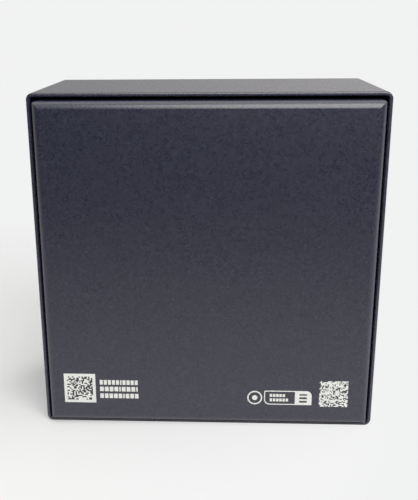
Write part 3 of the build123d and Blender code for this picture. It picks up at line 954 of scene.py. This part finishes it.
def wall_flap(name, low, high, outward, open_end, finish, body):
    """The wrap on a side wall, a paper's thickness proud and cut short of the upright edges.

    Height over the wall = thickness x ramp(z) x fade(y): a short ramp at the two cut edges, and a
    slow fade at the rim and at the closed face, where the paper goes on round the edge.
    """
    proud, sunk = 0.09 * MM, 0.05 * MM
    cut, inset, fade_length = 3.1 * MM, 2 * MM, 3 * MM
    edge = np.array([0, 0.05, 0.12]) * MM
    bottom, top = low[2] + cut, high[2] - cut
    z = np.concatenate([bottom + edge, np.linspace(bottom + inset, top - inset, 12), top - edge[::-1]])
    ramp = np.interp(z, [z[0], z[2], z[-3], z[-1]], [0, 1, 1, 0])
    first, last = low[1] + open_end[0], high[1] - open_end[1]
    stops = [first, first + fade_length, last - fade_length, last]
    y = spaced(stops, [0.6 * MM, 6 * MM, 0.6 * MM])
    fade = np.interp(y, stops, [0, 1, 1, 0])
    fade = fade * fade * (3 - 2 * fade)
    grid_y, grid_z = np.meshgrid(y, z)
    over = proud * ramp[:, None] * fade[None, :] - sunk * (1 - ramp[:, None] * fade[None, :])
    wall = high[0] if outward > 0 else low[0]
    skin = np.stack([wall + outward * over, grid_y, grid_z], axis=-1)
    back = np.stack([np.full_like(over, wall - outward * 2 * sunk), grid_y, grid_z], axis=-1)
    rows, columns = skin.shape[:2]
    rim = rim_index(columns, rows)
    following = np.roll(rim, -1)
    count = rows * columns
    quads = grid_quads(rows, columns)
    side = np.stack([rim + count, following + count, following, rim], axis=-1)
    faces = np.concatenate([quads, quads[:, ::-1] + count, side])
    if outward < 0:
        faces = faces[:, ::-1]
    flap = put_mesh(name, np.concatenate([skin.reshape(-1, 3), back.reshape(-1, 3)]), faces, finish)
    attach(flap, body)
    return flap


LID_ENDS = (0.5 * MM, 1.9 * MM)         # where a flap's paper starts to fade, at the rim and the face
BASE_ENDS = (2.7 * MM, 0.5 * MM)        # the same on the base, from its face to its rim
for side_name, side_sign in (("left", -1), ("right", 1)):
    wall_flap(f"lid_flap_{side_name}", LID_LOW, LID_HIGH, side_sign, LID_ENDS, LID_PAPER, "lid")
    wall_flap(f"base_flap_{side_name}", BASE_LOW, BASE_HIGH, side_sign, BASE_ENDS, BASE_PAPER, "base")


# ---------------------------------------------------------------- floor, light and camera

ROOM_COLOUR = rgb(0.88, 0.885, 0.885)   # of the backdrop and of the room behind it
BOX_HEART = (0, 0, LID_MIDDLE)


def studio_sweep():
    """A pale floor that curves up into a backdrop, as a profile carried sideways.

    The profile is a line, a quarter circle and a line. Camera and transmission rays see it at one
    plain colour, except round the box, where it is lit and takes the shadow. Mirror-like rays see
    it glow warmer, with painted shade in front, a painted contact shadow along the box's foot,
    painted shade far behind and to the left, and a painted brighter light to the right.
    """
    front, back, radius, top, half_width = -2.5, 1.6, 0.8, 2.4, 3.0
    bend = np.radians(np.linspace(0, 90, 13))
    y = np.concatenate([[front, -1.0, 0.0], back + radius * np.sin(bend), [back + radius]])
    z = np.concatenate([[0, 0, 0], radius * (1 - np.cos(bend)), [top]])
    x = np.linspace(-half_width, half_width, 7)
    points = np.stack([np.tile(x, len(y)), np.repeat(y, len(x)), np.repeat(z, len(x))], axis=-1)

    finish = Finish("studio_paper", roughness=0.9, specular_ior_level=0.0)
    tree = finish.tree
    place = finish.place()
    tone = finish.noise(place, 0.5, 2.0)
    pale = finish.mixed(finish.spread(tone, 0.35, 0.65), rgb(0.78, 0.78, 0.78), rgb(0.8, 0.8, 0.8))
    finish.paint(base_color=pale)

    shadow_heart, lit_within, plain_beyond, least_plain = (-0.17, 0.04, 0), 0.1, 0.26, 0.12
    away = finish.add("ShaderNodeVectorMath", {0: place, 1: shadow_heart}, operation="DISTANCE")
    far = finish.spread(away.outputs["Value"], lit_within, plain_beyond, least_plain, 1.0)
    ray = finish.add("ShaderNodeLightPath", {})
    mirror_ray = ray.outputs["Is Glossy Ray"]
    seen = finish.maths("MAXIMUM", ray.outputs["Is Camera Ray"], ray.outputs["Is Transmission Ray"])
    seen = finish.maths("MAXIMUM", finish.maths("MULTIPLY", far, seen), mirror_ray)

    across, depth, _ = finish.add("ShaderNodeSeparateXYZ", {0: place}).outputs
    # Painted light and shade in what mirror-like rays see: darker in front and far behind, darker to the left
    # and brighter to the right.
    painted_front_shade = finish.spread(depth, -0.42, -0.06, 0.12, 1.0)
    mirrored_light_and_shade = finish.maths("MULTIPLY", painted_front_shade, finish.spread(depth, 0.1, 0.8, 1.0, 0.8))
    mirrored_light_and_shade = finish.maths("MULTIPLY", mirrored_light_and_shade, finish.spread(across, -0.5, 0.5, 0.82, 1.15))
    # A painted contact shadow along the box's foot, in what mirror-like rays see.
    foot_shadow_share = 0.1
    foot_shadow_across = finish.spread(finish.maths("ABSOLUTE", across), 0.066, 0.07, foot_shadow_share, 1.0)
    before = finish.spread(finish.maths("ABSOLUTE", depth), 0.0318, 0.0325, foot_shadow_share, 1.0)
    mirrored_light_and_shade = finish.maths("MULTIPLY", mirrored_light_and_shade, finish.maths("MAXIMUM", foot_shadow_across, before))
    mirrored_light_and_shade = finish.maths("SUBTRACT", mirrored_light_and_shade, 1.0)
    strength = finish.maths("ADD", 1.0, finish.maths("MULTIPLY", mirrored_light_and_shade, mirror_ray))
    # Mirror-like rays see the floor glow warmer: a painted reflection colour.
    tint = finish.mixed(mirror_ray, ROOM_COLOUR, rgb(0.9, 0.875, 0.865))
    plain = finish.add("ShaderNodeEmission", {"Color": tint, "Strength": strength})
    mix = finish.add("ShaderNodeMixShader", {0: seen, 1: finish.shader.outputs[0], 2: plain.outputs[0]})
    tree.links.new(mix.outputs[0], tree.nodes["Material Output"].inputs["Surface"])
    sweep = put_mesh("studio_sweep", points, grid_quads(len(y), len(x)), finish.material)


def soft_room():
    """The room's even light. Camera and transmission rays see a pale room."""
    world = bpy.data.worlds.new("soft_room")
    bpy.context.scene.world = world
    world.use_nodes = True
    nodes, links = world.node_tree.nodes, world.node_tree.links
    nodes.clear()
    ray = nodes.new("ShaderNodeLightPath")
    seen = nodes.new("ShaderNodeMath")
    seen.operation = "MAXIMUM"
    links.new(ray.outputs["Is Camera Ray"], seen.inputs[0])
    links.new(ray.outputs["Is Transmission Ray"], seen.inputs[1])
    light = nodes.new("ShaderNodeBackground")
    light.inputs["Color"].default_value = rgb(0.98, 0.99, 1.0)
    light.inputs["Strength"].default_value = 0.2
    pale = nodes.new("ShaderNodeBackground")
    pale.inputs["Color"].default_value = ROOM_COLOUR
    mix = nodes.new("ShaderNodeMixShader")
    links.new(seen.outputs[0], mix.inputs[0])
    links.new(light.outputs[0], mix.inputs[1])
    links.new(pale.outputs[0], mix.inputs[2])
    out = nodes.new("ShaderNodeOutputWorld")
    links.new(mix.outputs[0], out.inputs["Surface"])


def aim(item, target):
    """Turn a lamp so that its -Z axis points at the target."""
    direction = np.asarray(target, float) - np.array(item.location)
    yaw = math.atan2(direction[0], direction[1])
    pitch = math.atan2(direction[2], math.hypot(direction[0], direction[1]))
    item.rotation_euler = (math.pi / 2 + pitch, 0, -yaw)


def softbox(name, location, width, height, radiance, colour):
    """A rectangular lamp aimed at the box's heart: its power is pi x area x radiance."""
    lamp = bpy.data.lights.new(name, "AREA")
    lamp.shape = "RECTANGLE"
    lamp.size, lamp.size_y = width, height
    lamp.energy = math.pi * width * height * radiance
    lamp.color = colour
    item = bpy.data.objects.new(name, lamp)
    bpy.context.scene.collection.objects.link(item)
    item.location = location
    aim(item, BOX_HEART)
    return item


def camera():
    """The photograph's viewpoint, from a pinhole camera fitted to the box's corners.

    The optical axis passes left of the picture's middle, as in a picture that was cropped.
    """
    pitch, yaw, roll = math.radians(-17.09), math.radians(2.91), math.radians(-0.52)
    lens = bpy.data.cameras.new("camera")
    lens.lens = 54.1
    lens.sensor_width = 36
    lens.shift_x = 0.0486
    lens.clip_start, lens.clip_end = 0.02, 20
    item = bpy.data.objects.new("camera", lens)
    bpy.context.scene.collection.objects.link(item)
    item.location = (0.00537, -0.31071, 0.1617)
    turn = (Matrix.Rotation(yaw, 4, "Z") @ Matrix.Rotation(math.pi / 2 + pitch, 4, "X")
            @ Matrix.Rotation(roll, 4, "Z"))
    item.rotation_euler = turn.to_euler("XYZ")
    bpy.context.scene.camera = item


studio_sweep()
soft_room()
softbox("key_softbox", (0.3, -0.8, 0.68), width=1.0, height=0.92, radiance=4.6,
        colour=(1.0, 0.985, 0.97))
softbox("overhead_softbox", (0.15, -0.05, 1.3), width=1.3, height=1.4, radiance=1.7,
        colour=(1.0, 0.995, 0.98))
softbox("side_softbox", (1.0, 1.0, 0.55), width=0.8, height=0.8, radiance=5.0,
        colour=(1.0, 0.995, 0.99))
camera()

bpy.context.scene.view_settings.view_transform = "Standard"
